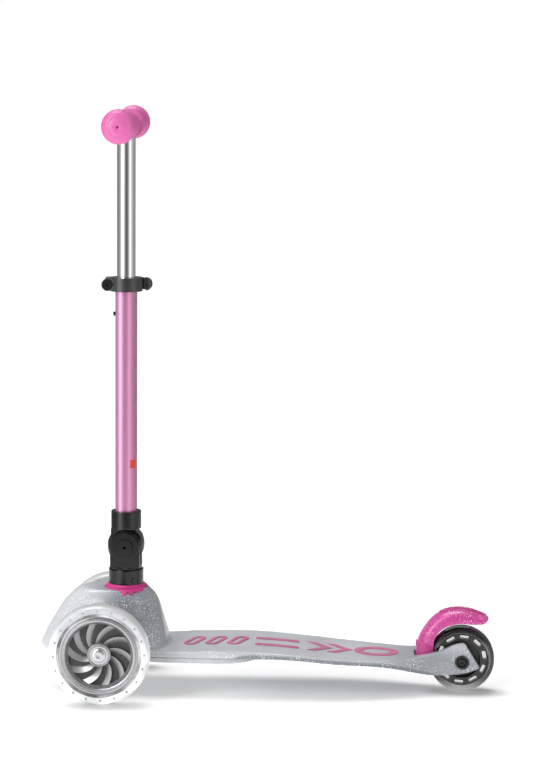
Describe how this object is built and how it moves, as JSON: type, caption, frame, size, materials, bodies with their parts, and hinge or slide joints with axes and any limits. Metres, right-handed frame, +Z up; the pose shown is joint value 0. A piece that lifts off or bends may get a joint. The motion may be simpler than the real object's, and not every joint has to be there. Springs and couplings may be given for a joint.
{
  "type": "kick scooter",
  "caption": "Child's three-wheel kick scooter that steers by leaning, with a folding telescopic mast, light-up front wheels and a rear mudguard brake.",
  "frame": {"origin": "on the floor, midway between the hood's nose and the back of the rear tyre, in the mid plane", "axes": "+X to the rear wheel, +Y to the rider's left, +Z up"},
  "size_m": [0.55, 0.216, 0.6992],
  "materials": {
    "clear_shell": "translucent plastic with silver glitter",
    "cover_plastic": "translucent plastic",
    "pink_shell": "translucent pink with glitter",
    "pink_pads": "matt raised rubber",
    "pink_rubber": "soft rubber",
    "grip_rubber": "soft satin rubber",
    "black_plastic": "moulded matt",
    "black_rubber": "matt rubber",
    "pink_metal": "anodised satin",
    "chrome": "polished",
    "steel": "zinc plated",
    "clear_tyre": "clear polyurethane",
    "light_core": "clear ring with small lights",
    "hub_grey": "metallic grey",
    "smoky_tyre": "smoky polyurethane",
    "hub_black": "moulded satin"
  },
  "bodies": {
    "chassis": {"deck": "clear_shell", "bottom_cover": "cover_plastic", "cover_screws": "steel", "grip_pads": "pink_pads", "boot": "pink_rubber", "steering_base": "black_plastic", "kingpins": "steel", "lean_shaft": "steel", "lean_spring_left": "steel", "lean_spring_right": "steel", "rear_axle_bolt": "steel", "rear_axle_nut": "steel", "rear_washers": "steel", "fender_pin": "steel", "fender_spring": "steel"},
    "column": {"rocker": "black_plastic", "stem_tube": "steel", "stem_collar": "black_plastic", "hinge_fork": "black_plastic", "hinge_cap": "black_plastic", "hinge_pin": "steel", "fold_spring": "steel"},
    "collar_key": {"collar_button": "black_plastic"},
    "fold_key": {"fold_button": "black_plastic"},
    "mast": {"hinge_socket": "black_plastic", "outer_tube": "pink_metal", "tube_bush": "black_plastic", "clamp_ring": "black_plastic", "clamp_bolt": "steel", "clamp_barrel": "steel"},
    "snap_key": {"snap_button": "black_plastic"},
    "lever": {"clamp_lever": "black_plastic"},
    "handlebar": {"inner_tube": "chrome", "tube_foot": "black_plastic", "crossbar": "chrome", "grip_left": "grip_rubber", "grip_right": "grip_rubber"},
    "tie": {"tie_bar": "black_plastic"},
    "steer_left": {"knuckle_left": "black_plastic", "axle_bolt_left": "steel"},
    "steer_right": {"knuckle_right": "black_plastic", "axle_bolt_right": "steel"},
    "wheel_left": {"front_tyre_left": "clear_tyre", "light_core_left": "light_core", "front_hub_left": "hub_grey", "front_bearings_left": "steel", "magnet_spacer_left": "steel"},
    "wheel_right": {"front_tyre_right": "clear_tyre", "light_core_right": "light_core", "front_hub_right": "hub_grey", "front_bearings_right": "steel", "magnet_spacer_right": "steel"},
    "wheel_rear": {"rear_tyre": "smoky_tyre", "rear_hub": "hub_black", "rear_bearings": "steel", "rear_spacer": "steel"},
    "brake": {"fender_bumper": "black_rubber", "fender": "pink_shell", "brake_shoe": "steel", "fender_tread": "black_rubber"}
  },
  "joints": [
    {"name": "column_lean", "type": "hinge", "parent": "chassis", "child": "column", "pos_m": [-0.172, 0, 0.0964], "axis": [1, 0, 0], "range_deg": [-8, 8], "stiffness_Nm_per_rad": 60, "deforming": ["lean_spring_left", "lean_spring_right"]},
    {"name": "tie_slide", "type": "slide", "parent": "chassis", "child": "tie", "axis": [0, 1, 0], "range_m": [-0.0066, 0.0066]},
    {"name": "steer_left", "type": "hinge", "parent": "chassis", "child": "steer_left", "pos_m": [-0.195, 0.036, 0.06], "axis": [0, 0, 1], "range_deg": [-12.5, 12.5]},
    {"name": "steer_right", "type": "hinge", "parent": "chassis", "child": "steer_right", "pos_m": [-0.195, -0.036, 0.06], "axis": [0, 0, 1], "range_deg": [-12.5, 12.5]},
    {"name": "wheel_left_spin", "type": "hinge", "parent": "steer_left", "child": "wheel_left", "pos_m": [-0.195, 0.091, 0.06], "axis": [0, 1, 0], "continuous": true},
    {"name": "wheel_right_spin", "type": "hinge", "parent": "steer_right", "child": "wheel_right", "pos_m": [-0.195, -0.091, 0.06], "axis": [0, 1, 0], "continuous": true},
    {"name": "wheel_rear_spin", "type": "hinge", "parent": "chassis", "child": "wheel_rear", "pos_m": [0.235, 0, 0.04], "axis": [0, 1, 0], "continuous": true},
    {"name": "brake_press", "type": "hinge", "parent": "chassis", "child": "brake", "pos_m": [0.1885, 0, 0.041], "axis": [0, 1, 0], "range_deg": [0, 4], "stiffness_Nm_per_rad": 4, "springref_deg": -6.88},
    {"name": "mast_fold", "type": "hinge", "parent": "column", "child": "mast", "pos_m": [-0.172, 0, 0.174], "axis": [0, 1, 0], "range_deg": [0, 90]},
    {"name": "height", "type": "slide", "parent": "mast", "child": "handlebar", "axis": [0, 0, 1], "range_m": [-0.155, 0]},
    {"name": "lever_open", "type": "hinge", "parent": "mast", "child": "lever", "pos_m": [-0.193, 0.0145, 0.4895], "axis": [0, 0, 1], "range_deg": [0, 110]},
    {"name": "snap_press", "type": "slide", "parent": "mast", "child": "snap_key", "axis": [1, 0, 0], "range_m": [0, 0.0018], "stiffness_N_per_m": 400, "springref_m": -0.002},
    {"name": "fold_press", "type": "slide", "parent": "column", "child": "fold_key", "axis": [0, 1, 0], "range_m": [0, 0.003], "stiffness_N_per_m": 800, "springref_m": -0.003, "deforming": ["fold_spring"]},
    {"name": "collar_press", "type": "slide", "parent": "column", "child": "collar_key", "axis": [-0.5446, 0.8387, 0], "range_m": [0, 0.001], "stiffness_N_per_m": 400, "springref_m": -0.002}
  ],
  "couplings": [
    {"joint": "tie_slide", "follows": "column_lean", "m_per_rad": 0.0424},
    {"joint": "steer_left", "follows": "column_lean", "ratio": 1.4133},
    {"joint": "steer_right", "follows": "column_lean", "ratio": 1.4133}
  ]
}
